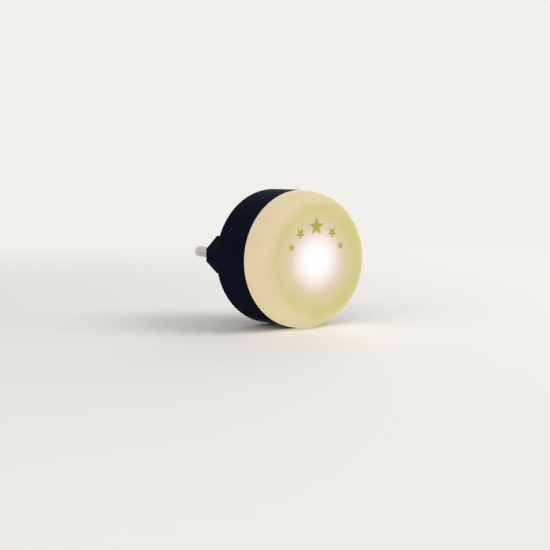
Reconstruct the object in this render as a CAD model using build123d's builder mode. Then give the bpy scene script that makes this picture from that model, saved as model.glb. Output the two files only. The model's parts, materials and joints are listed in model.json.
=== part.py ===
from build123d import *
import math
import os

os.makedirs("parts", exist_ok=True)

# A plug-in night light: a dark drum with a rounded, translucent lens, carried by its own two-pin plug.
# Frame, in millimetres: +Z up, the lens faces -Y and the plug points along +Y. The origin is the
# centre of the drum's back face. A depth is measured forward from that face, so y = -depth.

# Clearances
close_gap = 0.02  # pins, screws and sleeves in their own holes
fit_gap = 0.1  # moulded pieces that locate in each other
slide_gap = 0.25  # round the pieces that move
lead_gap = 0.1  # round a wire in its board hole

# Drum
body_diameter = 48.0
body_depth = 17.2
body_wall = 2.0
body_edge = 0.4
rib_height = 2.8
rib_thickness = 1.6
rib_count = 6

# Lens
lens_height = 8.9
lens_wall = 1.6
shoulder_radius = 6.7
lens_edge = 0.3
skirt_length = 3.4
skirt_wall = 1.6
clamp_reach = 0.6
lug_width = 6.0
lug_height = 1.0
lug_reach = 0.6

# Rear cover with the hollow plug
cover_thickness = 2.2
cover_edge = 0.4
plug_depth = 17.0
plug_height = 13.7
plug_shoulder = 8.35  # from a pin's axis to the plug's end
plug_corner = 4.6
plug_edge = 0.7
plug_draft = 0.3
plug_wall = 2.0
plug_end_wall = 3.0
pin_mouth = 0.4  # bevel round each pin, so that a socket's face clears the leaning sleeve

# Plug pins, which lean towards each other
pin_diameter = 4.0
pin_length = 19.0
pin_spacing = 18.6
pin_tip_spacing = 17.5
pin_tip_round = 1.5
pin_neck_diameter = 2.6
pin_collar_diameter = 6.0
pin_collar_thickness = 2.0
pin_tail_diameter = 2.4
pin_tail_length = 4.0
sleeve_diameter = 3.6
sleeve_length = 10.0  # outside the plug

# Wires from the pins to the board
lead_diameter = 1.4

# Screws
post_diameter = 5.6
post_rib = 2.0
post_edge = 1.6  # between a post and the drum's wall
cover_screw_diameter = 2.6
cover_screw_length = 9.0
cover_screw_head = 5.0
recess_width = 0.7
recess_depth = 0.9
board_screw_diameter = 2.0
board_screw_bite = 3.0
board_screw_head = 3.6
board_screw_head_height = 1.3
standoff_diameter = 4.6

# Circuit board
board_gap = 2.0
board_thickness = 1.6
board_margin = 0.6
board_screw_edge = 2.6
wire_width = 0.6
wire_tail = 0.8

# Lamp and reflector
lamp_diameter = 5.0
lamp_height = 8.6
lamp_flange_diameter = 5.9
lamp_flange_thickness = 1.0
lamp_leg_pitch = 2.54
reflector_thickness = 1.0
reflector_collar_height = 2.4

# Parts on the board
film_length = 10.5
film_thickness = 5.0
film_height = 11.0
film_pitch = 7.5
film_standoff = 1.5
film_round = 0.6
can_diameter = 5.0
can_length = 11.0
can_pitch = 2.0
can_reach = 1.6
can_groove = 0.35
can_rise = 1.0
bridge_width = 6.4
bridge_length = 8.3
bridge_height = 3.3
bridge_row = 7.62
bridge_pitch = 5.08
bridge_leg_width = 0.6
bridge_leg_sheet = 0.3
part_lift = 0.3
fuse_diameter = 3.4
fuse_length = 9.0
fuse_pitch = 12.5
fuse_level = 9.6
resistor_diameter = 2.4
resistor_length = 6.3
resistor_pitch = 10.0
bleeder_level = 5.6
series_gap = 4.4  # from the switch terminals
resistor_bevel = 0.3

# Slide switch and its button
travel = 2.0
land_rise = 1.5
land_margin = 0.5
pocket_length = 13.0
pocket_width = 7.6
pocket_depth = 1.4
pocket_round = 2.0
pad_length = 6.0
pad_width = 4.4
pad_sink = 0.3  # how far the pad stays inside the drum's outline
pad_round = 0.4
pad_groove_width = 0.6
pad_groove_depth = 0.4
pad_groove_pitch = 1.5
flange_lap = 0.9
flange_thickness = 1.0
flange_gap = 0.15
prong_thickness = 1.1
prong_height = 2.0
lever_length = 2.0
lever_width = 1.8
lever_reach = 3.6
switch_length = 9.0
switch_height = 4.4
switch_sheet = 0.4
switch_rise = 3.6
switch_tab = 1.0
switch_base_thickness = 0.9
switch_plug_thickness = 0.8
slider_thickness = 1.4
bridge_sheet = 0.3
contact_gap = 0.15
terminal_pitch = 2.5
terminal_width = 0.8
terminal_sheet = 0.5
terminal_rise = 0.8

# Sizes and places that follow
body_radius = body_diameter / 2
bore_radius = body_radius - body_wall
rib_radius = bore_radius - rib_height
reflector_seat = body_depth - skirt_length
skirt_radius = bore_radius - fit_gap
skirt_inner = skirt_radius - skirt_wall
reflector_radius = skirt_inner - fit_gap
cover_radius = bore_radius - fit_gap
plug_width = pin_spacing + 2 * plug_shoulder
post_circle = bore_radius - post_edge - post_diameter / 2
post_reach = bore_radius + body_wall / 2 - post_circle
board_rear = cover_thickness + board_gap
board_front = board_rear + board_thickness
board_radius = rib_radius - board_margin
board_screw_circle = board_radius - board_screw_edge
side_offset = (board_radius + film_pitch / 2) / 2  # halfway from the inner wires to the board's edge
lamp_base = reflector_seat - fit_gap - lamp_flange_thickness
button_depth = board_front + switch_height / 2
land_level = bore_radius - land_rise
flange_level = land_level - flange_gap
flange_top = flange_level - flange_thickness
switch_face = flange_top - slide_gap - lever_reach
switch_top = switch_face - switch_rise
slot_length = pad_length + travel + 2 * slide_gap
slot_width = pad_width + 2 * slide_gap
flange_length = slot_length + travel + 2 * flange_lap
flange_width = slot_width + 2 * flange_lap
rest_shift = -travel / 2
wire_hole = wire_width + 2 * lead_gap
terminal_row = switch_top - switch_base_thickness - terminal_rise + terminal_sheet / 2

# Working planes: a radius across and a depth up, to turn about Axis.Y; one that looks forward at a
# depth, with X across and Z up; one that lies flat at a level below the axis, centred on the button;
# two that hold a bent wire, with its run along X or along Z and Y up
turning = Plane((0, 0, 0), x_dir=(1, 0, 0), z_dir=(0, 0, -1))
back = Plane((0, 0, 0), x_dir=(-1, 0, 0), z_dir=(0, 1, 0))


def facing(depth):
    return Plane.XZ.offset(depth)


def lying(level):
    return Plane((0, -button_depth, -level))


def along_x(z):
    return Plane.XY.offset(z)


def along_z(x):
    return Plane((x, 0, 0), x_dir=(0, 0, 1), z_dir=(-1, 0, 0))


def bent_wire(start, bend, depth, thickness):
    """A wire's outline: out of a part at a depth, along to the bend and from there through the board."""
    half = math.copysign(thickness / 2, bend - start)
    with BuildSketch() as outline:
        with BuildLine():
            Polyline(
                (start, -depth - thickness / 2),
                (bend + half, -depth - thickness / 2),
                (bend + half, wire_tail - board_rear),
                (bend - half, wire_tail - board_rear),
                (bend - half, -depth + thickness / 2),
                (start, -depth + thickness / 2),
                close=True,
            )
        make_face()
    return outline.sketch


# Body shell: the drum, with ribs whose ends seat the rear cover on one side, the reflector and the lens
# on the other, two screw posts, pockets for the lens lugs and the switch's slot in a finger pocket
with BuildPart() as body_shell:
    with BuildSketch(facing(0)):
        Circle(body_radius)
        Circle(bore_radius, mode=Mode.SUBTRACT)
    extrude(amount=body_depth)
    rims = body_shell.edges().filter_by(GeomType.CIRCLE).sort_by(SortBy.RADIUS)[-2:]
    chamfer(rims, length=body_edge)

    with BuildSketch(facing(cover_thickness)):
        with PolarLocations(rib_radius, rib_count):
            Rectangle(rib_height + body_wall / 2, rib_thickness, align=(Align.MIN, Align.CENTER))
    extrude(amount=reflector_seat - cover_thickness)
    with BuildSketch(facing(cover_thickness)):
        with PolarLocations(post_circle, 2, start_angle=135):
            Circle(post_diameter / 2)
            Rectangle(post_reach, post_rib, align=(Align.MIN, Align.CENTER))
    extrude(amount=reflector_seat - fit_gap - cover_thickness)
    with BuildSketch(facing(cover_thickness)):
        with PolarLocations(post_circle, 2, start_angle=135):
            Circle(cover_screw_diameter / 2 + close_gap)
    extrude(amount=cover_screw_length, mode=Mode.SUBTRACT)

    with BuildSketch(facing(reflector_seat + (skirt_length - lug_height) / 2 - fit_gap)):
        with PolarLocations(0, 2, start_angle=45):
            Rectangle(body_diameter, lug_width + 2 * fit_gap)
        Circle(bore_radius + lug_reach, mode=Mode.INTERSECT)
    extrude(amount=lug_height + 2 * fit_gap, mode=Mode.SUBTRACT)

    with BuildSketch(facing(button_depth - flange_width / 2 - land_margin)):
        Circle(bore_radius + body_wall / 2)
        with Locations((0, body_radius - land_level)):
            Rectangle(body_diameter, body_diameter, mode=Mode.SUBTRACT)
    extrude(amount=flange_width + 2 * land_margin)
    with BuildSketch(lying(land_level)):
        Rectangle(flange_length + travel + 2 * slide_gap, flange_width + 2 * slide_gap)
    extrude(amount=land_level - board_radius, mode=Mode.SUBTRACT)
    with BuildSketch(lying(body_radius)):
        RectangleRounded(pocket_length, pocket_width, pocket_round)
    extrude(amount=pocket_depth, mode=Mode.SUBTRACT)
    with BuildSketch(lying(body_radius)):
        Rectangle(slot_length, slot_width)
    extrude(amount=body_radius - land_level, mode=Mode.SUBTRACT)
body_shell.part.label = "body_shell"
export_step(body_shell.part, "parts/body_shell.step")


# Lens cap: turned, with a flat front and a rounded shoulder, hollow, with a skirt that locates in the drum,
# a step that holds the reflector down and four snap lugs. The hollow follows the shoulder in flats
lens_top = body_depth + lens_height
shoulder_x = body_radius - shoulder_radius
shoulder_depth = lens_top - shoulder_radius
hollow_round = shoulder_radius - lens_wall
hollow_corner = hollow_round * math.cos(math.pi / 4)
with BuildPart() as lens_cap:
    with BuildSketch(turning) as lens_profile:
        with Locations((0, body_depth)):
            Rectangle(body_radius, lens_height, align=(Align.MIN, Align.MIN))
        lens_corners = lens_profile.vertices().group_by(Axis.X)[-1].sort_by(Axis.Y)
        fillet(lens_corners[-1], radius=shoulder_radius)
        chamfer(lens_corners[0], length=lens_edge)
        with BuildLine():
            Polyline(
                (0, body_depth),
                (0, lens_top - lens_wall),
                (shoulder_x, lens_top - lens_wall),
                (shoulder_x + hollow_corner, shoulder_depth + hollow_corner),
                (body_radius - lens_wall, shoulder_depth),
                (body_radius - lens_wall, body_depth),
                close=True,
            )
        make_face(mode=Mode.SUBTRACT)
        with BuildLine():
            Polyline(
                (skirt_inner, reflector_seat),
                (skirt_radius, reflector_seat),
                (skirt_radius, body_depth),
                (body_radius - lens_wall / 2, body_depth),
                (body_radius - lens_wall / 2, body_depth + lens_wall),
                (reflector_radius - clamp_reach, body_depth + lens_wall),
                (reflector_radius - clamp_reach, reflector_seat + reflector_thickness),
                (skirt_inner, reflector_seat + reflector_thickness),
                close=True,
            )
        make_face()
    revolve(axis=Axis.Y)

    with BuildSketch(facing(reflector_seat + (skirt_length - lug_height) / 2)):
        with PolarLocations(0, 2, start_angle=45):
            Rectangle(body_diameter, lug_width)
        Circle(skirt_radius + lug_reach, mode=Mode.INTERSECT)
        Circle(skirt_radius - skirt_wall / 2, mode=Mode.SUBTRACT)
    extrude(amount=lug_height)
lens_cap.part.label = "lens_cap"
export_step(lens_cap.part, "parts/lens_cap.step")


# Reflector plate: a white disc with a collar round the lamp
with BuildPart() as reflector_plate:
    lamp_hole = lamp_diameter / 2 + slide_gap
    with BuildSketch(facing(reflector_seat)):
        Circle(reflector_radius)
        Circle(lamp_hole, mode=Mode.SUBTRACT)
    extrude(amount=reflector_thickness)
    with BuildSketch(facing(reflector_seat)):
        Circle(lamp_hole + reflector_thickness)
        Circle(lamp_hole, mode=Mode.SUBTRACT)
    extrude(amount=reflector_collar_height)
reflector_plate.part.label = "reflector_plate"
export_step(reflector_plate.part, "parts/reflector_plate.step")


# Rear cover: a disc that closes the drum, with the hollow plug lofted behind it, countersunk screw
# holes and two standoffs for the board
with BuildSketch() as plug_face:
    Rectangle(plug_width, plug_height)
    chamfer(plug_face.vertices(), length=plug_corner)
with BuildSketch() as plug_foot:
    add(plug_face.sketch)
    offset(amount=plug_draft, kind=Kind.INTERSECTION)
with BuildSketch() as plug_hollow:
    add(plug_face.sketch)
    offset(amount=-plug_wall, kind=Kind.INTERSECTION)

pin_lean = math.atan2((pin_spacing - pin_tip_spacing) / 2, pin_length)


def pin_plane(side):
    """The plane of a pin's axis, from the plug's end face outwards: a radius across, the axis up."""
    across = (math.cos(pin_lean), side * math.sin(pin_lean), 0)
    return Plane((side * pin_spacing / 2, plug_depth, 0), x_dir=across, z_dir=(0, 0, 1))


with BuildPart() as rear_cover:
    with BuildSketch(facing(0)):
        Circle(cover_radius)
    extrude(amount=cover_thickness)
    back_rim = rear_cover.faces().sort_by(Axis.Y)[-1].outer_wire().edges()
    chamfer(back_rim, length=cover_edge)
    with BuildSketch(facing(-plug_depth)):
        add(plug_face.sketch)
    with BuildSketch(facing(0)):
        add(plug_foot.sketch)
    loft(ruled=True)
    plug_rim = rear_cover.faces().sort_by(Axis.Y)[-1].outer_wire().edges()
    chamfer(plug_rim, length=plug_edge)
    with BuildSketch(facing(plug_end_wall - plug_depth)):
        add(plug_hollow.sketch)
    extrude(amount=plug_depth - plug_end_wall + cover_thickness, mode=Mode.SUBTRACT)
    sleeve_hole = sleeve_diameter / 2 + close_gap
    for side in (-1, 1):
        with BuildSketch(pin_plane(side)):
            with BuildLine():
                Polyline(
                    (0, -2 * plug_end_wall),
                    (sleeve_hole, -2 * plug_end_wall),
                    (sleeve_hole, -pin_mouth),
                    (sleeve_hole + 2 * pin_mouth, pin_mouth),
                    (0, pin_mouth),
                    close=True,
                )
            make_face()
        revolve(axis=Axis(pin_plane(side).origin, pin_plane(side).y_dir), mode=Mode.SUBTRACT)

    with Locations(back):
        with PolarLocations(post_circle, 2, start_angle=45):
            CounterSinkHole(
                cover_screw_diameter / 2 + close_gap,
                cover_screw_head / 2 + close_gap,
                depth=cover_thickness,
                counter_sink_angle=90,
            )
    with BuildSketch(facing(cover_thickness)):
        with PolarLocations(board_screw_circle, 2, start_angle=45):
            Circle(standoff_diameter / 2)
    extrude(amount=board_gap)
    with BuildSketch(facing(board_rear)):
        with PolarLocations(board_screw_circle, 2, start_angle=45):
            Circle(board_screw_diameter / 2 + close_gap)
    extrude(amount=-board_screw_bite - fit_gap, mode=Mode.SUBTRACT)
rear_cover.part.label = "rear_cover"
export_step(rear_cover.part, "parts/rear_cover.step")


# Plug pins: turned, with a tail to solder to, a collar inside the end wall, a neck and a bare tip, rounded
# in two bevels. Each has a moulded sleeve on its neck, set in the end wall, and a wire to the board
pin_inner = plug_end_wall + pin_collar_thickness + pin_tail_length
collar_seat = plug_end_wall + pin_collar_diameter * math.tan(pin_lean)
tip_corner = pin_tip_round * (1 - math.cos(math.pi / 4))
lead_slant = lead_diameter / 2 * math.sin(pin_lean)
lead_length = (plug_depth + board_rear - lead_slant) / math.cos(pin_lean) - pin_inner
for name, side in (("left", -1), ("right", 1)):
    pin_axis = Axis(pin_plane(side).origin, pin_plane(side).y_dir)
    with BuildPart() as pin:
        with BuildSketch(pin_plane(side)):
            with BuildLine():
                Polyline(
                    (0, -pin_inner),
                    (pin_tail_diameter / 2, -pin_inner),
                    (pin_tail_diameter / 2, -collar_seat - pin_collar_thickness),
                    (pin_collar_diameter / 2, -collar_seat - pin_collar_thickness),
                    (pin_collar_diameter / 2, -collar_seat),
                    (pin_neck_diameter / 2, -collar_seat),
                    (pin_neck_diameter / 2, sleeve_length),
                    (pin_diameter / 2, sleeve_length),
                    (pin_diameter / 2, pin_length - pin_tip_round),
                    (pin_diameter / 2 - tip_corner, pin_length - tip_corner),
                    (pin_diameter / 2 - pin_tip_round, pin_length),
                    (0, pin_length),
                    close=True,
                )
            make_face()
        revolve(axis=pin_axis)
    pin.part.label = f"{name}_pin"
    export_step(pin.part, f"parts/{name}_pin.step")

    with BuildPart() as sleeve:
        with BuildSketch(pin_plane(side)):
            with Locations((pin_neck_diameter / 2 + close_gap, -collar_seat)):
                sleeve_wall = (sleeve_diameter - pin_neck_diameter) / 2 - close_gap
                Rectangle(sleeve_wall, collar_seat + sleeve_length, align=(Align.MIN, Align.MIN))
        revolve(axis=pin_axis)
    sleeve.part.label = f"{name}_pin_sleeve"
    export_step(sleeve.part, f"parts/{name}_pin_sleeve.step")

    with BuildPart() as lead:
        with BuildSketch(pin_plane(side)):
            with Locations((0, -pin_inner)):
                Rectangle(lead_diameter / 2, lead_length, align=(Align.MIN, Align.MAX))
        revolve(axis=pin_axis)
    lead.part.label = f"{name}_lead"
    export_step(lead.part, f"parts/{name}_lead.step")


# Cover screws: countersunk, with a cross recess, from the back into the drum's posts
with BuildPart() as cover_screws:
    with BuildSketch(facing(0)):
        with PolarLocations(post_circle, 2, start_angle=135):
            Circle(cover_screw_diameter / 2)
    extrude(amount=cover_screw_length)
    head_drop = (cover_screw_head - cover_screw_diameter) / 2
    with BuildSketch(facing(0)):
        with PolarLocations(post_circle, 2, start_angle=135):
            Circle(cover_screw_head / 2)
    extrude(amount=head_drop, taper=45)
    with BuildSketch(facing(0)):
        with PolarLocations(post_circle, 2, start_angle=135):
            Rectangle(cover_screw_diameter, recess_width)
            Rectangle(recess_width, cover_screw_diameter)
    extrude(amount=recess_depth, mode=Mode.SUBTRACT)
cover_screws.part.label = "cover_screws"
export_step(cover_screws.part, "parts/cover_screws.step")


# Board screws: pan heads on the board, into the cover's standoffs
with BuildPart() as board_screws:
    with BuildSketch(facing(board_rear - board_screw_bite)):
        with PolarLocations(board_screw_circle, 2, start_angle=45):
            Circle(board_screw_diameter / 2)
    extrude(amount=board_screw_bite + board_thickness)
    with BuildSketch(facing(board_front)):
        with PolarLocations(board_screw_circle, 2, start_angle=45):
            Circle(board_screw_head / 2)
    extrude(amount=board_screw_head_height)
    with BuildSketch(facing(board_front + board_screw_head_height)):
        with PolarLocations(board_screw_circle, 2, start_angle=45):
            Rectangle(board_screw_diameter, recess_width)
            Rectangle(recess_width, board_screw_diameter)
    extrude(amount=-board_screw_head_height / 2, mode=Mode.SUBTRACT)
board_screws.part.label = "board_screws"
export_step(board_screws.part, "parts/board_screws.step")


# Where the wires of the parts on the board go through it, as (x, z)
film_wires = [(side * film_pitch / 2, 0) for side in (-1, 1)]
lamp_wires = [(side * lamp_leg_pitch / 2, 0) for side in (-1, 1)]
can_end = can_rise - can_length / 2
can_wires = [(side_offset + side * can_pitch / 2, can_end - can_reach) for side in (-1, 1)]
bridge_wires = [
    (-side_offset + side * bridge_row / 2, row * bridge_pitch / 2) for side in (-1, 1) for row in (-1, 1)
]
resistor_rows = [
    (fuse_level, fuse_diameter, fuse_length, fuse_pitch),
    (bleeder_level, resistor_diameter, resistor_length, resistor_pitch),
    (series_gap - terminal_row, resistor_diameter, resistor_length, resistor_pitch),
]
resistor_wires = [(side * pitch / 2, level) for level, _, _, pitch in resistor_rows for side in (-1, 1)]
terminal_wires = [(place * terminal_pitch, -terminal_row) for place in (-1, 0, 1)]
tab_places = [(side * (switch_length - switch_sheet) / 2, -switch_face + switch_rise / 2) for side in (-1, 1)]

# Circuit board: a disc cut back for the screw posts and the button, drilled for every wire
with BuildPart() as circuit_board:
    with BuildSketch(facing(board_rear)):
        Circle(board_radius)
        with PolarLocations(post_circle - post_diameter / 2 - board_margin, 2, start_angle=135):
            Rectangle(body_radius, body_diameter, align=(Align.MIN, Align.CENTER), mode=Mode.SUBTRACT)
        with Locations((0, -switch_face - board_margin)):
            Rectangle(body_diameter, body_radius, align=(Align.CENTER, Align.MAX), mode=Mode.SUBTRACT)
        with PolarLocations(board_screw_circle, 2, start_angle=45):
            Circle(board_screw_diameter / 2 + lead_gap, mode=Mode.SUBTRACT)
        with Locations(*film_wires, *lamp_wires, *can_wires, *resistor_wires):
            Rectangle(wire_hole, wire_hole, mode=Mode.SUBTRACT)
        with Locations(*bridge_wires):
            Rectangle(bridge_leg_sheet + 2 * lead_gap, bridge_leg_width + 2 * lead_gap, mode=Mode.SUBTRACT)
        with Locations(*terminal_wires):
            Rectangle(terminal_width + 2 * lead_gap, terminal_sheet + 2 * lead_gap, mode=Mode.SUBTRACT)
        with Locations(*tab_places):
            Rectangle(switch_sheet + 2 * lead_gap, switch_tab + 2 * lead_gap, mode=Mode.SUBTRACT)
    extrude(amount=board_thickness)
circuit_board.part.label = "circuit_board"
export_step(circuit_board.part, "parts/circuit_board.step")


# Lamp: a flanged, round-nosed lamp on the axis, on two square legs
with BuildPart() as led_lamp:
    with BuildSketch(turning):
        nose = lamp_base + lamp_height - lamp_diameter / 2
        with BuildLine():
            Polyline(
                (0, lamp_base + lamp_height),
                (0, lamp_base),
                (lamp_flange_diameter / 2, lamp_base),
                (lamp_flange_diameter / 2, lamp_base + lamp_flange_thickness),
                (lamp_diameter / 2, lamp_base + lamp_flange_thickness),
                (lamp_diameter / 2, nose),
            )
            TangentArc((lamp_diameter / 2, nose), (0, lamp_base + lamp_height), tangent=(0, 1))
        make_face()
    revolve(axis=Axis.Y)
led_lamp.part.label = "led_lamp"
export_step(led_lamp.part, "parts/led_lamp.step")

with BuildPart() as led_legs:
    with BuildSketch(facing(board_rear - wire_tail)):
        with Locations(*lamp_wires):
            Rectangle(wire_width, wire_width)
    extrude(amount=lamp_base - board_rear + wire_tail)
led_legs.part.label = "led_legs"
export_step(led_legs.part, "parts/led_legs.step")


# Film capacitor: a box behind the board, in the hollow of the plug
with BuildPart() as film_capacitor:
    with BuildSketch(facing(board_rear - film_standoff)):
        Rectangle(film_length, film_thickness)
    extrude(amount=-film_height)
    fillet(film_capacitor.edges().filter_by(Axis.Y), radius=film_round)
film_capacitor.part.label = "film_capacitor"
export_step(film_capacitor.part, "parts/film_capacitor.step")


# Smoothing capacitor: a can that lies on the board, with a rolled groove near its wired end
can_depth = board_front + part_lift + can_diameter / 2
can_radius = can_diameter / 2
with BuildPart() as smoothing_capacitor:
    can_plane = Plane((side_offset, -can_depth, can_end), x_dir=(1, 0, 0), z_dir=(0, -1, 0))
    with BuildSketch(can_plane):
        with BuildLine():
            Polyline(
                (0, 0),
                (can_radius, 0),
                (can_radius, 3 * can_groove),
                (can_radius - can_groove, 4 * can_groove),
                (can_radius, 5 * can_groove),
                (can_radius, can_length),
                (0, can_length),
                close=True,
            )
        make_face()
    revolve(axis=Axis(can_plane.origin, (0, 0, 1)))
    top_rim = smoothing_capacitor.faces().sort_by(Axis.Z)[-1].edges()
    chamfer(top_rim, length=can_groove)
smoothing_capacitor.part.label = "smoothing_capacitor"
export_step(smoothing_capacitor.part, "parts/smoothing_capacitor.step")


# Capacitor leads: two straight wires to the box, and two bent down from the can's end
with BuildPart() as capacitor_leads:
    with BuildSketch(facing(board_rear - film_standoff)):
        with Locations(*film_wires):
            Rectangle(wire_width, wire_width)
    extrude(amount=film_standoff + board_thickness + wire_tail)
    for x, z in can_wires:
        with BuildSketch(along_z(x)):
            add(bent_wire(can_end, z, can_depth, wire_width))
        extrude(amount=wire_width / 2, both=True)
capacitor_leads.part.label = "capacitor_leads"
export_step(capacitor_leads.part, "parts/capacitor_leads.step")


# Bridge rectifier: a moulded block with one bevelled corner edge, on four bent legs
leg_level = board_front + part_lift + bridge_height / 2
with BuildPart() as bridge_rectifier:
    with BuildSketch(facing(board_front + part_lift)):
        with Locations((-side_offset, 0)):
            Rectangle(bridge_width, bridge_length)
    extrude(amount=bridge_height)
    marked_edge = bridge_rectifier.edges().filter_by(Axis.Z).group_by(Axis.Y)[0].sort_by(Axis.X)[0]
    chamfer(marked_edge, length=bridge_height / 4)
bridge_rectifier.part.label = "bridge_rectifier"
export_step(bridge_rectifier.part, "parts/bridge_rectifier.step")

with BuildPart() as rectifier_legs:
    for x, z in bridge_wires:
        body_side = -side_offset + math.copysign(bridge_width / 2, x + side_offset)
        with BuildSketch(along_x(z)):
            add(bent_wire(body_side, x, leg_level, bridge_leg_sheet))
        extrude(amount=bridge_leg_width / 2, both=True)
rectifier_legs.part.label = "rectifier_legs"
export_step(rectifier_legs.part, "parts/rectifier_legs.step")


# Resistors: round bodies with bevelled ends, lying over the board
resistor_names = ("fusible_resistor", "bleeder_resistor", "series_resistor")
for name, (level, diameter, length, _) in zip(resistor_names, resistor_rows):
    with BuildPart() as resistor:
        with BuildSketch(Plane.YZ):
            with Locations((-board_front - part_lift - diameter / 2, level)):
                Circle(diameter / 2)
        extrude(amount=length / 2, both=True)
        chamfer(resistor.edges().filter_by(GeomType.CIRCLE), length=resistor_bevel)
    resistor.part.label = name
    export_step(resistor.part, f"parts/{name}.step")

with BuildPart() as resistor_leads:
    for level, diameter, length, pitch in resistor_rows:
        for side in (-1, 1):
            height = board_front + part_lift + diameter / 2
            with BuildSketch(along_x(level)):
                add(bent_wire(side * length / 2, side * pitch / 2, height, wire_width))
            extrude(amount=wire_width / 2, both=True)
resistor_leads.part.label = "resistor_leads"
export_step(resistor_leads.part, "parts/resistor_leads.step")


# Switch frame: a folded steel can, open at the top, with a slot for the lever and two tabs in the board
with BuildPart() as switch_frame:
    with BuildSketch(lying(switch_face)):
        Rectangle(switch_length, switch_height)
    extrude(amount=switch_rise)
    offset(amount=-switch_sheet, openings=switch_frame.faces().sort_by(Axis.Z)[-1])
    with BuildSketch(lying(switch_face)):
        Rectangle(lever_length + travel + 2 * slide_gap, lever_width + 2 * slide_gap)
    extrude(amount=switch_sheet, mode=Mode.SUBTRACT)
    with BuildSketch(facing(board_rear - wire_tail)):
        with Locations(*tab_places):
            Rectangle(switch_sheet, switch_tab)
    extrude(amount=board_thickness + wire_tail + switch_sheet)
switch_frame.part.label = "switch_frame"
export_step(switch_frame.part, "parts/switch_frame.step")


# Switch base: the insulating lid of the can, stepped into it, with a slot for each terminal
with BuildPart() as switch_base:
    with BuildSketch(lying(switch_top)):
        Rectangle(switch_length, switch_height)
    extrude(amount=switch_base_thickness)
    with BuildSketch(lying(switch_top)):
        inset = 2 * (switch_sheet + fit_gap)
        Rectangle(switch_length - inset, switch_height - inset)
    extrude(amount=-switch_plug_thickness)
    with BuildSketch(lying(switch_top + switch_plug_thickness)):
        with GridLocations(terminal_pitch, 0, 3, 1):
            Rectangle(terminal_width + 2 * close_gap, terminal_sheet + 2 * close_gap)
    extrude(amount=switch_plug_thickness + switch_base_thickness, mode=Mode.SUBTRACT)
switch_base.part.label = "switch_base"
export_step(switch_base.part, "parts/switch_base.step")


# Switch terminals: three blades from the base, bent down into the board
contact_level = switch_top + switch_plug_thickness
with BuildPart() as switch_terminals:
    for x, z in terminal_wires:
        with BuildSketch(along_z(x)):
            add(bent_wire(-contact_level, z, button_depth, terminal_sheet))
        extrude(amount=terminal_width / 2, both=True)
switch_terminals.part.label = "switch_terminals"
export_step(switch_terminals.part, "parts/switch_terminals.step")


# Switch slider: the block that runs in the can, with the lever that leaves through its slot
slider_floor = switch_face - switch_sheet - flange_gap
with BuildPart() as switch_slider:
    with BuildSketch(lying(slider_floor)):
        with Locations((rest_shift, 0)):
            run = 2 * (switch_sheet + slide_gap)
            Rectangle(switch_length - travel - run, switch_height - run)
    extrude(amount=slider_thickness)
    with BuildSketch(lying(slider_floor)):
        with Locations((rest_shift, 0)):
            Rectangle(lever_length, lever_width)
    extrude(amount=slider_floor - switch_face - lever_reach)
    lever_end = switch_slider.faces().sort_by(Axis.Z)[0].edges()
    fillet(lever_end, radius=pad_round)
switch_slider.part.label = "switch_slider"
export_step(switch_slider.part, "parts/switch_slider.step")


# Switch bridge: the sprung clip on the slider, with two raised contacts that join a pair of terminals
clip_level = slider_floor - slider_thickness
with BuildPart() as switch_bridge:
    with BuildSketch(lying(clip_level)):
        with Locations((rest_shift, 0)):
            Rectangle(terminal_pitch + 2 * terminal_width, lever_width)
    extrude(amount=bridge_sheet)
    with BuildSketch(lying(clip_level)):
        with Locations((rest_shift, 0)):
            with GridLocations(terminal_pitch, 0, 2, 1):
                Circle(terminal_width / 2)
    extrude(amount=clip_level - contact_level - contact_gap)
switch_bridge.part.label = "switch_bridge"
export_step(switch_bridge.part, "parts/switch_bridge.step")


# Switch button: a grooved pad through the drum's slot, a flange that slides on the land inside, and two
# prongs that take the lever
with BuildPart() as switch_button:
    with BuildSketch(lying(flange_level)):
        with Locations((rest_shift, 0)):
            Rectangle(flange_length, flange_width)
    extrude(amount=flange_thickness)
    with BuildSketch(lying(flange_level)):
        with Locations((rest_shift, 0)):
            Rectangle(pad_length, pad_width)
    extrude(amount=flange_level - body_radius + pad_sink)
    fillet(switch_button.faces().sort_by(Axis.Z)[0].edges(), radius=pad_round)
    with BuildSketch(lying(body_radius - pad_sink)):
        with Locations((rest_shift, 0)):
            with GridLocations(pad_groove_pitch, 0, 3, 1):
                Rectangle(pad_groove_width, pad_width)
    extrude(amount=pad_groove_depth, mode=Mode.SUBTRACT)
    with BuildSketch(lying(flange_top)):
        with Locations((rest_shift, 0)):
            with GridLocations(lever_length + 2 * fit_gap + prong_thickness, 0, 2, 1):
                Rectangle(prong_thickness, lever_width)
    extrude(amount=prong_height)
switch_button.part.label = "switch_button"
export_step(switch_button.part, "parts/switch_button.step")
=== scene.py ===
import json
import math

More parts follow.
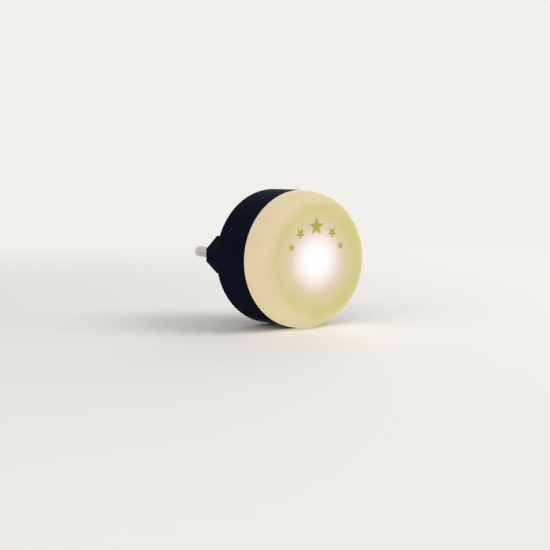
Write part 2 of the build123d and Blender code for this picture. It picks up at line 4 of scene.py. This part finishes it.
import bpy
import numpy as np
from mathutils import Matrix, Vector


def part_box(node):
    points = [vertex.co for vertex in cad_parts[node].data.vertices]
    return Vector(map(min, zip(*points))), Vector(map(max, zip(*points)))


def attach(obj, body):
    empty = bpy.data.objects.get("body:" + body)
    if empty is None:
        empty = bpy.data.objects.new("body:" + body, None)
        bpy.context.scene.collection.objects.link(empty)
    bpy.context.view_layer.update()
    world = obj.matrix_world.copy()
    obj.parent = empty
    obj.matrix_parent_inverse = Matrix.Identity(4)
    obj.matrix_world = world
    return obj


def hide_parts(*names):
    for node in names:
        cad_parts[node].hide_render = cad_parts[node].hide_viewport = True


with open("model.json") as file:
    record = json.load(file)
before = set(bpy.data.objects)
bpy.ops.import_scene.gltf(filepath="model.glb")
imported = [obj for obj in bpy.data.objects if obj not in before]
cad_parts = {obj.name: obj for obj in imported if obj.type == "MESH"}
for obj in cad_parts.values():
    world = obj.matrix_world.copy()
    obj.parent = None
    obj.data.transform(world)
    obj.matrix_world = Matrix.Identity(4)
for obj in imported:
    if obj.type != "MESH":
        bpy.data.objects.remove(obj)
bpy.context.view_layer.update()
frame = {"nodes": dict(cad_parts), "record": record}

# A plug-in night light, in metres: +Z up, the lens faces -Y and the plug points along +Y.
# A depth is measured forward from the drum's back face, so y = -depth.
MM = 0.001

drum_low, drum_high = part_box("body_shell")
lens_low, lens_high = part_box("lens_cap")
DRUM_RADIUS = drum_high.x
DRUM_DEPTH = -drum_low.y

# Lens: its front stays behind the solid lens's by the thickness of the print on it
INK_LIFT = 0.03 * MM
LENS_RADIUS = DRUM_RADIUS - 0.01 * MM
LENS_FRONT = -lens_low.y - INK_LIFT
LENS_SHOULDER = 6.7 * MM
LENS_WALL = 1.6 * MM
LENS_ROUND = 0.25 * MM
LENS_SEGMENTS = 256
SEAM_STEPS = 6
SKIRT_END = -lens_high.y
SKIRT_RADIUS = DRUM_RADIUS - 2.1 * MM

# Print: plain five-point stars in an arc over the lamp. The waist is a share of a star's size,
# and a run is the number of points along one of its sides.
STAR_POINTS = 5
STAR_WAIST = 0.45
STAR_RUN = 8
ARC_RADIUS = 11.5 * MM

# Pins: they lean towards each other; a distance along one is measured out of the plug's end
PLUG_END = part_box("rear_cover")[1].y
PIN_SPACING = 18.6 * MM
PIN_TIP_SPACING = 17.5 * MM
PIN_LENGTH = 19.0 * MM
PIN_RADIUS = 2.0 * MM
PIN_ROUND = 1.5 * MM
PIN_BEVEL = 0.1 * MM
PIN_SEGMENTS = 96
TIP_STEPS = 14
NECK_RADIUS = 1.3 * MM
NECK_LENGTH = 10.0 * MM
COLLAR_SEAT = 3.17 * MM
COLLAR_RADIUS = 3.0 * MM
COLLAR_THICKNESS = 2.0 * MM
TAIL_RADIUS = 1.2 * MM
TAIL_END = 9.0 * MM

# Studio: the floor fades into the background between two distances from the object
BACKGROUND = "#f0efec"
SKY_LIGHT = 0.45
FLOOR_LEVEL = drum_low.z - 0.2 * MM
FLOOR_HALF = 3.0
FADE_START = 0.08
FADE_END = 0.5
SHORT_RAY = 5 * MM

SHARP_EDGE = math.radians(35)

# A colour mix has its factor and two colours at these inputs, and its result at this output
FACTOR, FIRST, SECOND, MIXED = 0, 6, 7, 2


# Small helpers


def linear(code):
    """An sRGB hex colour as linear red, green and blue, with full alpha."""
    shade = np.array([int(code[i : i + 2], 16) for i in (1, 3, 5)]) / 255.0
    curve = np.where(shade <= 0.04045, shade / 12.92, ((shade + 0.055) / 1.055) ** 2.4)
    return (*curve.tolist(), 1.0)


def add_node(tree, kind, inputs=None, stops=None, **settings):
    """Adds a node with its settings, fills or links its inputs, and sets a ramp's stops."""
    node = tree.nodes.new(kind)
    for name, value in settings.items():
        setattr(node, name, value)
    for key, value in (inputs or {}).items():
        if isinstance(value, bpy.types.NodeSocket):
            tree.links.new(value, node.inputs[key])
        else:
            node.inputs[key].default_value = value
    for number, (place, code) in enumerate(stops or []):
        ramp = node.color_ramp.elements
        stop = ramp[number] if number < 2 else ramp.new(place)
        stop.position = place
        stop.color = linear(code)
    return node


def start_material(name, **constants):
    """A new material, its tree, its shader with constants on the sockets, and Object places."""
    material = bpy.data.materials.new(name)
    material.use_nodes = True
    tree = material.node_tree
    shader = tree.nodes["Principled BSDF"]
    for socket, value in constants.items():
        shader.inputs[socket.replace("_", " ")].default_value = value
    place = add_node(tree, "ShaderNodeTexCoord").outputs["Object"]
    return material, tree, shader, place


def off_axis(tree, place):
    """A place's X, Y and Z, and its distance from the drum's axis."""
    axes = add_node(tree, "ShaderNodeSeparateXYZ", {0: place}).outputs
    flat = add_node(tree, "ShaderNodeCombineXYZ", {"X": axes["X"], "Z": axes["Z"]})
    radius = add_node(tree, "ShaderNodeVectorMath", {0: flat.outputs[0]}, operation="LENGTH")
    return axes, radius.outputs["Value"]


def make_piece(name, points, material):
    """A mesh from a grid of points, shape (rows, columns, 3), whose columns close on themselves.

    The first and the last row each stand for a single pole: their points coincide, so each
    becomes one vertex with a fan of triangles. Quads join each row to the next.
    """
    rows, columns = points.shape[:2]
    inner = points[1:-1].reshape(-1, 3)
    verts = np.vstack([points[0, :1], inner, points[-1, :1]])
    ring = np.arange(columns)
    following = np.roll(ring, -1)
    steps = (np.arange(rows - 3) * columns)[:, None] + 1
    beyond = steps + columns
    corners = [steps + ring, beyond + ring, beyond + following, steps + following]
    quads = np.stack(corners, axis=-1).reshape(-1, 4)
    last = 1 + (rows - 3) * columns
    end = np.full_like(ring, len(verts) - 1)
    start_fan = np.stack([np.zeros_like(ring), 1 + ring, 1 + following], axis=-1)
    end_fan = np.stack([end, last + following, last + ring], axis=-1)
    faces = start_fan.tolist() + quads.tolist() + end_fan.tolist()
    mesh = bpy.data.meshes.new(name)
    mesh.from_pydata(verts.tolist(), [], faces)
    mesh.polygons.foreach_set("use_smooth", np.ones(len(mesh.polygons), bool))
    mesh.set_sharp_from_angle(angle=SHARP_EDGE)
    mesh.materials.append(material)
    piece = bpy.data.objects.new(name, mesh)
    bpy.context.scene.collection.objects.link(piece)
    return piece


def soft_light(name, place, size, power):
    """A square area lamp at a place, turned to the origin."""
    lamp = bpy.data.lights.new(name, "AREA")
    lamp.shape = "SQUARE"
    lamp.size = size
    lamp.energy = power
    holder = bpy.data.objects.new(name, lamp)
    holder.location = place
    holder.rotation_euler = (-Vector(place)).to_track_quat("-Z", "Y").to_euler()
    bpy.context.scene.collection.objects.link(holder)


# Shapes


def turned(profile, segments, foot=(0, 0, 0), axis=(0, -1, 0)):
    """Points of a turned shape: a profile of (radius, distance) pairs, once round an axis.

    foot + distance * axis + radius * (cos(angle) * across + sin(angle) * up), with up along Z
    and across square to both.
    """
    angle = np.linspace(0, 2 * np.pi, segments, endpoint=False)[:, None]
    up = np.array([0.0, 0.0, 1.0])
    spoke = np.cos(angle) * np.cross(up, axis) + np.sin(angle) * up
    radius, distance = profile[:, :1, None], profile[:, 1:, None]
    return np.array(foot) + distance * np.array(axis) + radius * spoke


def front_profile(radius, front, shoulder, rings, count):
    """(radius, depth) pairs of a turned front: rings across a flat disc, then a quarter round.

    The quarter round is radius - shoulder * (1 - sin(t)) and front - shoulder * (1 - cos(t)),
    with t from 0 to a quarter turn.
    """
    disc = np.stack([np.linspace(0, radius - shoulder, rings), np.full(rings, front)], axis=-1)
    t = np.linspace(0, np.pi / 2, count)[1:]
    across = radius - shoulder * (1 - np.sin(t))
    depth = front - shoulder * (1 - np.cos(t))
    return np.vstack([disc, np.stack([across, depth], axis=-1)])


def lens_profile():
    """The lens's closed section, as (radius, depth) pairs.

    The flat front and the shoulder, a quarter round of cos(t) and sin(t) at the seam, the skirt
    in straight lines, and back along the inside, which follows the front a wall behind it.
    """
    outer = front_profile(LENS_RADIUS, LENS_FRONT, LENS_SHOULDER, rings=12, count=40)
    t = np.linspace(0, np.pi / 2, SEAM_STEPS)
    edge_radius = LENS_RADIUS - LENS_ROUND * (1 - np.cos(t))
    edge_depth = DRUM_DEPTH + LENS_ROUND * (1 - np.sin(t))
    inner_radius = LENS_RADIUS - LENS_WALL
    skirt = np.array([
        (SKIRT_RADIUS, DRUM_DEPTH),
        (SKIRT_RADIUS, SKIRT_END),
        (SKIRT_RADIUS - LENS_WALL, SKIRT_END),
        (SKIRT_RADIUS - LENS_WALL, DRUM_DEPTH + LENS_WALL),
        (inner_radius, DRUM_DEPTH + LENS_WALL),
    ])
    inside = front_profile(
        inner_radius, LENS_FRONT - LENS_WALL, LENS_SHOULDER - LENS_WALL, rings=6, count=24
    )
    seam = np.stack([edge_radius, edge_depth], axis=-1)
    return np.vstack([outer, seam, skirt, inside[::-1]])


def pin_profile():
    """(radius, distance) pairs of a pin: round tip, bare end, neck in its sleeve, collar and tail.

    The tip is a quarter round: its radius grows with sin(t) and its distance with cos(t).
    """
    t = np.linspace(0, np.pi / 2, TIP_STEPS)
    tip_radius = PIN_RADIUS - PIN_ROUND * (1 - np.sin(t))
    tip_distance = PIN_LENGTH - PIN_ROUND * (1 - np.cos(t))
    rest = np.array([
        (PIN_RADIUS, NECK_LENGTH + PIN_BEVEL),
        (PIN_RADIUS - PIN_BEVEL, NECK_LENGTH),
        (NECK_RADIUS, NECK_LENGTH),
        (NECK_RADIUS, -COLLAR_SEAT),
        (COLLAR_RADIUS, -COLLAR_SEAT),
        (COLLAR_RADIUS, -COLLAR_SEAT - COLLAR_THICKNESS),
        (TAIL_RADIUS, -COLLAR_SEAT - COLLAR_THICKNESS),
        (TAIL_RADIUS, -TAIL_END),
        (0, -TAIL_END),
    ])
    tip = np.stack([tip_radius, tip_distance], axis=-1)
    return np.vstack([[(0, PIN_LENGTH)], tip, rest])


def star_outline(size):
    """(across, up) pairs round a star: straight runs between its tips and its notches.

    A tip lies at the size and a notch at the waist's share of it, each half a point further on.
    """
    corner = np.arange(2 * STAR_POINTS + 1)
    reach = np.where(corner % 2 == 0, size, STAR_WAIST * size)
    turn = np.pi / 2 + corner * np.pi / STAR_POINTS
    along = np.arange(2 * STAR_POINTS * STAR_RUN) / STAR_RUN
    across = np.interp(along, corner, reach * np.cos(turn))
    up = np.interp(along, corner, reach * np.sin(turn))
    return np.stack([across, up], axis=-1)


def printed(name, outline, centre, tilt, material):
    """A print on the lens's front: a closed outline filled from its middle, as thick as ink.

    Each point is centre + share * outline, turned by the tilt, with the share from 0 to 1 in
    rows. The last rows fold back behind the front.
    """
    share = np.array([0, 0.5, 1, 1, 0.5, 0])[:, None]
    lift = np.array([1, 1, 1, -1, -1, -1])[:, None] * INK_LIFT
    turn = math.radians(tilt)
    across = outline[:, 0] * math.cos(turn) - outline[:, 1] * math.sin(turn)
    up = outline[:, 0] * math.sin(turn) + outline[:, 1] * math.cos(turn)
    x = centre[0] + share * across
    z = centre[1] + share * up
    y = np.broadcast_to(-LENS_FRONT - lift, x.shape)
    return make_piece(name, np.stack([x, y, z], axis=-1), material)


# Materials


def opal_acrylic():
    """Opal acrylic, moulded and satin: milky, and lit by the lamp behind its middle.

    The glow is white over the lamp, cream round it and a yellower ring before the shoulder.
    The shoulder is a pinker cream, partly the lamp's glow and partly painted light, widest on
    the left and paler below. The surface itself is a soft cream with faint flow marks.
    """
    material, tree, shader, place = start_material(
        "opal_acrylic_satin",
        Roughness=0.5,
        IOR=1.49,
        Specular_IOR_Level=0.12,
        Emission_Strength=1.0,
    )
    axes, radius = off_axis(tree, place)
    share = add_node(tree, "ShaderNodeMath", {0: radius, 1: DRUM_RADIUS}, operation="DIVIDE")
    glow = add_node(
        tree,
        "ShaderNodeValToRGB",
        {"Fac": share.outputs[0]},
        stops=[
            (0.0, "#dfe2eb"),
            (0.72, "#aaa35d"),
            (0.2, "#dde1e9"),
            (0.29, "#d6d2d7"),
            (0.375, "#cdbfbc"),
            (0.46, "#bdac98"),
            (0.54, "#b4a87e"),
        ],
    )
    # The ring reaches further out towards the right, so that the shoulder's painted light is
    # widest on the left
    shift = add_node(
        tree,
        "ShaderNodeMapRange",
        {"Value": axes["X"], "From Min": -14 * MM, "From Max": 16 * MM, "To Max": 0.13},
        interpolation_type="SMOOTHSTEP",
    )
    edge = add_node(
        tree, "ShaderNodeMath", {0: share.outputs[0], 1: shift.outputs[0]}, operation="SUBTRACT"
    )
    outward = add_node(
        tree,
        "ShaderNodeMapRange",
        {"Value": edge.outputs[0], "From Min": 0.66, "From Max": 0.89},
        interpolation_type="SMOOTHSTEP",
    )
    # Painted light: the shoulder's colour is paler below
    downward = add_node(
        tree,
        "ShaderNodeMapRange",
        {"Value": axes["Z"], "From Min": -8 * MM, "From Max": -20 * MM},
        interpolation_type="SMOOTHSTEP",
    )
    rim = add_node(
        tree,
        "ShaderNodeMix",
        {FACTOR: downward.outputs[0], FIRST: linear("#beac8b"), SECOND: linear("#c2b58b")},
        data_type="RGBA",
    )
    light = add_node(
        tree,
        "ShaderNodeMix",
        {FACTOR: outward.outputs[0], FIRST: glow.outputs[0], SECOND: rim.outputs[MIXED]},
        data_type="RGBA",
    )
    # The skirt inside the drum stays dark, so that no light shows in the rear seam
    outside = add_node(
        tree, "ShaderNodeMath", {0: axes["Y"], 1: -DRUM_DEPTH}, operation="LESS_THAN"
    )
    shining = add_node(
        tree,
        "ShaderNodeMix",
        {FACTOR: outside.outputs[0], FIRST: linear("#000000"), SECOND: light.outputs[MIXED]},
        data_type="RGBA",
    )
    # Flow marks of the moulding, about 9 mm wide
    flow = add_node(
        tree, "ShaderNodeTexNoise", {"Vector": place, "Scale": 1 / (9 * MM), "Detail": 2.0}
    )
    milk = add_node(
        tree,
        "ShaderNodeValToRGB",
        {"Fac": flow.outputs[0]},
        stops=[(0.35, "#8c846d"), (0.65, "#928a73")],
    )
    # The satin grain is finer than 0.1 mm and is drawn at 0.5 mm, so that it shows
    grain = add_node(
        tree, "ShaderNodeTexNoise", {"Vector": place, "Scale": 1 / (0.5 * MM), "Detail": 3.0}
    )
    bump = add_node(
        tree,
        "ShaderNodeBump",
        {"Strength": 0.06, "Distance": 0.1 * MM, "Height": grain.outputs[0]},
    )
    tree.links.new(milk.outputs[0], shader.inputs["Base Color"])
    tree.links.new(shining.outputs[MIXED], shader.inputs["Emission Color"])
    tree.links.new(bump.outputs[0], shader.inputs["Normal"])
    return material


def printing_ink():
    """Screen-printed ink: an olive gold with an uneven film, lit through most near the lamp."""
    material, tree, shader, place = start_material(
        "screen_ink_gold", Roughness=0.5, Specular_IOR_Level=0.3, Emission_Strength=1.0
    )
    _, radius = off_axis(tree, place)
    away = add_node(
        tree, "ShaderNodeMapRange", {"Value": radius, "From Min": 5 * MM, "From Max": 13 * MM}
    )
    # The film is uneven over about 0.8 mm
    film = add_node(
        tree, "ShaderNodeTexNoise", {"Vector": place, "Scale": 1 / (0.8 * MM), "Detail": 2.0}
    )
    colour = add_node(
        tree,
        "ShaderNodeValToRGB",
        {"Fac": film.outputs[0]},
        stops=[(0.3, "#8f8a3c"), (0.7, "#9f9a4a")],
    )
    through = add_node(
        tree,
        "ShaderNodeValToRGB",
        {"Fac": away.outputs[0]},
        stops=[(0.0, "#948f4a"), (1.0, "#5c5626")],
    )
    tree.links.new(colour.outputs[0], shader.inputs["Base Color"])
    tree.links.new(through.outputs[0], shader.inputs["Emission Color"])
    return material


def moulded(name, dark, light, roughness, specular, grain_mm, rims=(), sheen_and_wear_code=None):
    """A moulded plastic: two close shades in soft patches, and a spark-eroded grain.

    The drum also has its grain's peaks painted paler: a painted sheen faintly all over, and
    rubbed wear with painted sheen along its rims. The rims are given as depths, with the colour
    of the sheen and wear.
    """
    material, tree, shader, place = start_material(name, IOR=1.5, Specular_IOR_Level=specular)
    # The patches are about 7 mm wide
    patches = add_node(
        tree, "ShaderNodeTexNoise", {"Vector": place, "Scale": 1 / (7 * MM), "Detail": 3.0}
    )
    colour = add_node(
        tree,
        "ShaderNodeValToRGB",
        {"Fac": patches.outputs[0]},
        stops=[(0.35, dark), (0.7, light)],
    )
    surface = colour.outputs[0]
    # The mould's grain is about 0.05 mm and is drawn coarser, so that it shows
    grain = add_node(
        tree, "ShaderNodeTexNoise", {"Vector": place, "Scale": 1 / (grain_mm * MM), "Detail": 4.0}
    )
    if rims:
        # The peaks of the grain are painted paler: a painted sheen faintly all over, and most
        # along the rims, where it is rubbed wear as well as painted sheen.
        # A rim's paling begins 0.7 mm from it along the depth and 0.9 mm in from the drum's edge.
        axes, radius = off_axis(tree, place)
        outer = add_node(
            tree,
            "ShaderNodeMapRange",
            {
                "Value": radius,
                "From Min": DRUM_RADIUS - 0.9 * MM,
                "From Max": DRUM_RADIUS - 0.3 * MM,
            },
        )
        paler_share = 0.18
        for depth in rims:
            away = add_node(tree, "ShaderNodeMath", {0: axes["Y"], 1: depth}, operation="ADD")
            far = add_node(tree, "ShaderNodeMath", {0: away.outputs[0]}, operation="ABSOLUTE")
            near = add_node(
                tree,
                "ShaderNodeMapRange",
                {
                    "Value": far.outputs[0],
                    "From Min": 0.7 * MM,
                    "From Max": 0.1 * MM,
                    "To Max": 0.8,
                },
            )
            rim = add_node(
                tree,
                "ShaderNodeMath",
                {0: near.outputs[0], 1: outer.outputs[0]},
                operation="MULTIPLY",
            )
            most = add_node(
                tree, "ShaderNodeMath", {0: rim.outputs[0], 1: paler_share}, operation="MAXIMUM"
            )
            paler_share = most.outputs[0]
        peaks = add_node(
            tree,
            "ShaderNodeMapRange",
            {"Value": grain.outputs[0], "From Min": 0.42, "From Max": 0.66},
        )
        sheen_and_wear = add_node(
            tree, "ShaderNodeMath", {0: peaks.outputs[0], 1: paler_share}, operation="MULTIPLY"
        )
        # Painted sheen and rubbed wear: the grain's peaks are mixed towards a paler colour
        mixed = add_node(
            tree,
            "ShaderNodeMix",
            {FACTOR: sheen_and_wear.outputs[0], FIRST: surface, SECOND: linear(sheen_and_wear_code)},
            data_type="RGBA",
        )
        surface = mixed.outputs[MIXED]
    polish = add_node(
        tree,
        "ShaderNodeMapRange",
        {"Value": grain.outputs[0], "To Min": roughness - 0.06, "To Max": roughness + 0.08},
    )
    # Moulded edges are rounded by about 0.2 mm
    rounded = add_node(tree, "ShaderNodeBevel", {"Radius": 0.2 * MM}, samples=8)
    bump = add_node(
        tree,
        "ShaderNodeBump",
        {
            "Strength": 0.12,
            "Distance": 0.08 * MM,
            "Height": grain.outputs[0],
            "Normal": rounded.outputs[0],
        },
    )
    tree.links.new(surface, shader.inputs["Base Color"])
    tree.links.new(polish.outputs[0], shader.inputs["Roughness"])
    tree.links.new(bump.outputs[0], shader.inputs["Normal"])
    return material


def plated(name, dark, light, roughness, line_mm, recess=None):
    """A plated or turned metal: two shades in rubbed patches, and fine turning lines round it.

    A painted shade fills a recess, from none at its first depth to all of it at its second.
    """
    material, tree, shader, place = start_material(name, Metallic=1.0)
    lines = add_node(tree, "ShaderNodeMapping", {"Vector": place, "Scale": (0.15, 1.0, 0.15)})
    # Turning lines are about 0.05 mm apart and are drawn coarser, so that they show
    turning = add_node(
        tree,
        "ShaderNodeTexNoise",
        {"Vector": lines.outputs[0], "Scale": 1 / (line_mm * MM), "Detail": 3.0},
    )
    # The rubbed patches are about 3 mm wide
    paler_share = add_node(
        tree, "ShaderNodeTexNoise", {"Vector": place, "Scale": 1 / (3 * MM), "Detail": 2.0}
    )
    colour = add_node(
        tree,
        "ShaderNodeValToRGB",
        {"Fac": paler_share.outputs[0]},
        stops=[(0.35, dark), (0.7, light)],
    )
    surface = colour.outputs[0]
    if recess:
        y = add_node(tree, "ShaderNodeSeparateXYZ", {0: place}).outputs["Y"]
        sunk = add_node(
            tree,
            "ShaderNodeMapRange",
            {"Value": y, "From Min": -recess[0], "From Max": -recess[1]},
        )
        # Painted shade: the recess darkens with depth
        painted_recess_shade = add_node(
            tree,
            "ShaderNodeMix",
            {FACTOR: sunk.outputs[0], FIRST: surface, SECOND: linear("#2a2927")},
            data_type="RGBA",
        )
        surface = painted_recess_shade.outputs[MIXED]
    polish = add_node(
        tree,
        "ShaderNodeMapRange",
        {"Value": paler_share.outputs[0], "To Min": roughness - 0.05, "To Max": roughness + 0.07},
    )
    bump = add_node(
        tree,
        "ShaderNodeBump",
        {"Strength": 0.04, "Distance": 0.05 * MM, "Height": turning.outputs[0]},
    )
    tree.links.new(surface, shader.inputs["Base Color"])
    tree.links.new(polish.outputs[0], shader.inputs["Roughness"])
    tree.links.new(bump.outputs[0], shader.inputs["Normal"])
    return material


def floor_paint():
    """A pale matt floor, which shows the shadow near the object and fades into the background."""
    material, tree, shader, place = start_material(
        "pale_floor", Base_Color=linear("#faf9f6"), Roughness=0.9, Specular_IOR_Level=0.1
    )
    away = add_node(tree, "ShaderNodeVectorMath", {0: place}, operation="LENGTH")
    faded = add_node(
        tree,
        "ShaderNodeMapRange",
        {"Value": away.outputs["Value"], "From Min": FADE_START, "From Max": FADE_END},
        interpolation_type="SMOOTHSTEP",
    )
    bright = add_node(tree, "ShaderNodeEmission", {"Color": linear(BACKGROUND), "Strength": 1.0})
    top = add_node(
        tree,
        "ShaderNodeMixShader",
        {0: faded.outputs[0], 1: shader.outputs[0], 2: bright.outputs[0]},
    )
    # The back of the floor is clear, and so is its top to the short rays of light from the
    # object's underside, so that the switch can be seen from below
    under = add_node(tree, "ShaderNodeNewGeometry").outputs["Backfacing"]
    ray = add_node(tree, "ShaderNodeLightPath").outputs
    short = add_node(
        tree, "ShaderNodeMath", {0: ray["Ray Length"], 1: SHORT_RAY}, operation="LESS_THAN"
    )
    open_side = add_node(
        tree, "ShaderNodeMath", {0: under, 1: short.outputs[0]}, operation="MAXIMUM"
    )
    clear = add_node(tree, "ShaderNodeBsdfTransparent")
    sided = add_node(
        tree,
        "ShaderNodeMixShader",
        {0: open_side.outputs[0], 1: top.outputs[0], 2: clear.outputs[0]},
    )
    tree.links.new(sided.outputs[0], tree.nodes["Material Output"].inputs["Surface"])
    return material


# Finishes by the record's slots

# A plastic has its two shades, its roughness, its specular level and its grain in mm.
# A metal has its two shades, its roughness and its lines in mm.
finishes = {
    # Satin and nearly black, with a cold tint, a fine grain, a painted sheen on its grain and
    # rubbed rims
    "drum_plastic": moulded(
        "abs_satin_blue_black", "#050816", "#0a0e23", 0.72, 0.02, 0.4, (DRUM_DEPTH, 0.0), "#262b40"
    ),
    # Smoother and greyer than the drum, so that the button stands out
    "button_plastic": moulded("abs_satin_graphite", "#23262e", "#2a2d36", 0.45, 0.3, 0.5),
    # Black with a soft shine along its length
    "sleeve_plastic": moulded("polyester_black", "#101012", "#151518", 0.4, 0.35, 0.4),
    # A clean, glossy white
    "reflector_plastic": moulded("polystyrene_white", "#eceae4", "#f4f2ee", 0.3, 0.4, 0.5),
    # A dull red
    "lead_insulation": moulded("vinyl_red", "#a81f18", "#b82a20", 0.45, 0.4, 0.4),
    # A deep green under clear lacquer
    "board_laminate": moulded("glass_laminate_green", "#17452a", "#1f5433", 0.35, 0.5, 0.5),
    # Pale straw and very glossy, as cast
    "lamp_epoxy": moulded("epoxy_warm_clear", "#efe4c0", "#f6edd0", 0.12, 0.5, 0.6),
    # A glossy mustard yellow
    "film_case": moulded("polyester_case_yellow", "#d0a030", "#dcae3c", 0.3, 0.5, 0.5),
    # A glossy navy film
    "can_sleeve": moulded("shrink_sleeve_navy", "#171c45", "#1e2450", 0.3, 0.5, 0.5),
    # A dry black
    "rectifier_epoxy": moulded("epoxy_black", "#121212", "#1a1a1a", 0.55, 0.4, 0.4),
    # A glossy grey-blue
    "resistor_coat": moulded("dipped_lacquer_blue", "#5d86a6", "#6b93b2", 0.3, 0.5, 0.5),
    # A dull dark brown
    "switch_insulator": moulded("phenolic_brown", "#3f2a1a", "#4b3321", 0.5, 0.4, 0.4),
    # A warm, bright silver with clear reflections
    "pin_metal": plated("nickel_plated_brass", "#bdb9b0", "#cac6be", 0.27, 0.3),
    # A cool, duller grey
    "screw_steel": plated("zinc_plated_steel", "#8b8e92", "#9da0a4", 0.36, 0.3),
    # A neutral, bright silver
    "tinned_wire": plated("tinned_copper", "#bdbdbd", "#cccccb", 0.3, 0.3),
    # A plain mid grey with a soft shine
    "switch_steel": plated("stamped_steel", "#a8a8a6", "#bbbbb9", 0.35, 0.3),
    # A warm yellow shine
    "contact_brass": plated("stamped_brass", "#c0994f", "#d1ac61", 0.3, 0.3),
    "lens_plastic": opal_acrylic(),
}
for entry in frame["record"]["subparts"]:
    node_mesh = frame["nodes"][entry["node"]].data
    node_mesh.materials.clear()
    node_mesh.materials.append(finishes[entry["material_slot"]])

# The same steel, with painted shade in the cross recess of the heads
frame["nodes"]["cover_screws"].data.materials[0] = plated(
    "zinc_plated_steel_recessed", "#8b8e92", "#9da0a4", 0.36, 0.3, (0.1 * MM, 0.45 * MM)
)

# Lens

lens = make_piece("opal_lens", turned(lens_profile(), LENS_SEGMENTS), finishes["lens_plastic"])
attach(lens, "housing")
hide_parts("lens_cap")

# Plug pins

lean = math.atan2((PIN_SPACING - PIN_TIP_SPACING) / 2, PIN_LENGTH)
for side_name, side in (("left", -1), ("right", 1)):
    foot = (side * PIN_SPACING / 2, PLUG_END, 0)
    axis = (-side * math.sin(lean), math.cos(lean), 0)
    points = turned(pin_profile(), PIN_SEGMENTS, foot, axis)
    pin = make_piece(f"{side_name}_pin_turned", points, finishes["pin_metal"])
    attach(pin, "housing")
    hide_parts(f"{side_name}_pin")

# Print on the lens: each star with its size and its angle from the top

ink = printing_ink()
stars = [
    ("print_star_far_left", 1.5 * MM, 66),
    ("print_star_left", 2.0 * MM, 36),
    ("print_star_middle", 3.2 * MM, 0),
    ("print_star_right", 2.0 * MM, -36),
    ("print_star_far_right", 1.5 * MM, -66),
]
for name, size, turn in stars:
    angle = math.radians(turn)
    centre = (-ARC_RADIUS * math.sin(angle), ARC_RADIUS * math.cos(angle))
    star = printed(name, star_outline(size), centre, turn, ink)
    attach(star, "housing")

# Floor, light and camera

floor_corners = FLOOR_HALF * np.array([(-1, -1), (1, -1), (1, 1), (-1, 1)])
floor_mesh = bpy.data.meshes.new("floor")
floor_mesh.from_pydata(
    np.column_stack([floor_corners, np.full(4, FLOOR_LEVEL)]).tolist(), [], [(0, 1, 2, 3)]
)
floor_mesh.materials.append(floor_paint())
floor = bpy.data.objects.new("floor", floor_mesh)
bpy.context.scene.collection.objects.link(floor)

soft_light("key_light", (0.45, -0.45, 0.55), size=0.5, power=3.0)
soft_light("fill_light", (-0.6, -0.35, 0.35), size=0.6, power=1.6)
soft_light("back_light", (0.65, 0.5, 0.3), size=0.5, power=2.2)

# The background has its full level to the camera, in reflections and through clear pieces, and
# gives the object less light
world = bpy.data.worlds.new("studio")
bpy.context.scene.world = world
world.use_nodes = True
sky = world.node_tree
ray = add_node(sky, "ShaderNodeLightPath").outputs
seen = add_node(
    sky, "ShaderNodeMath", {0: ray["Is Camera Ray"], 1: ray["Is Glossy Ray"]}, operation="MAXIMUM"
)
shown = add_node(
    sky, "ShaderNodeMath", {0: seen.outputs[0], 1: ray["Is Transmission Ray"]}, operation="MAXIMUM"
)
level = add_node(
    sky, "ShaderNodeMapRange", {"Value": shown.outputs[0], "To Min": SKY_LIGHT, "To Max": 1.0}
)
sky.nodes["Background"].inputs["Color"].default_value = linear(BACKGROUND)
sky.links.new(level.outputs[0], sky.nodes["Background"].inputs["Strength"])

camera_data = bpy.data.cameras.new("camera")
camera_data.sensor_width = 36.0
camera_data.lens = 79.30
camera = bpy.data.objects.new("camera", camera_data)
camera.location = (-0.2524, -0.3536, 0.0320)
forward = Vector((0.58059, 0.80928, -0.08929))
camera.rotation_euler = forward.to_track_quat("-Z", "Y").to_euler()
bpy.context.scene.collection.objects.link(camera)
bpy.context.scene.camera = camera
bpy.context.scene.view_settings.view_transform = "Standard"
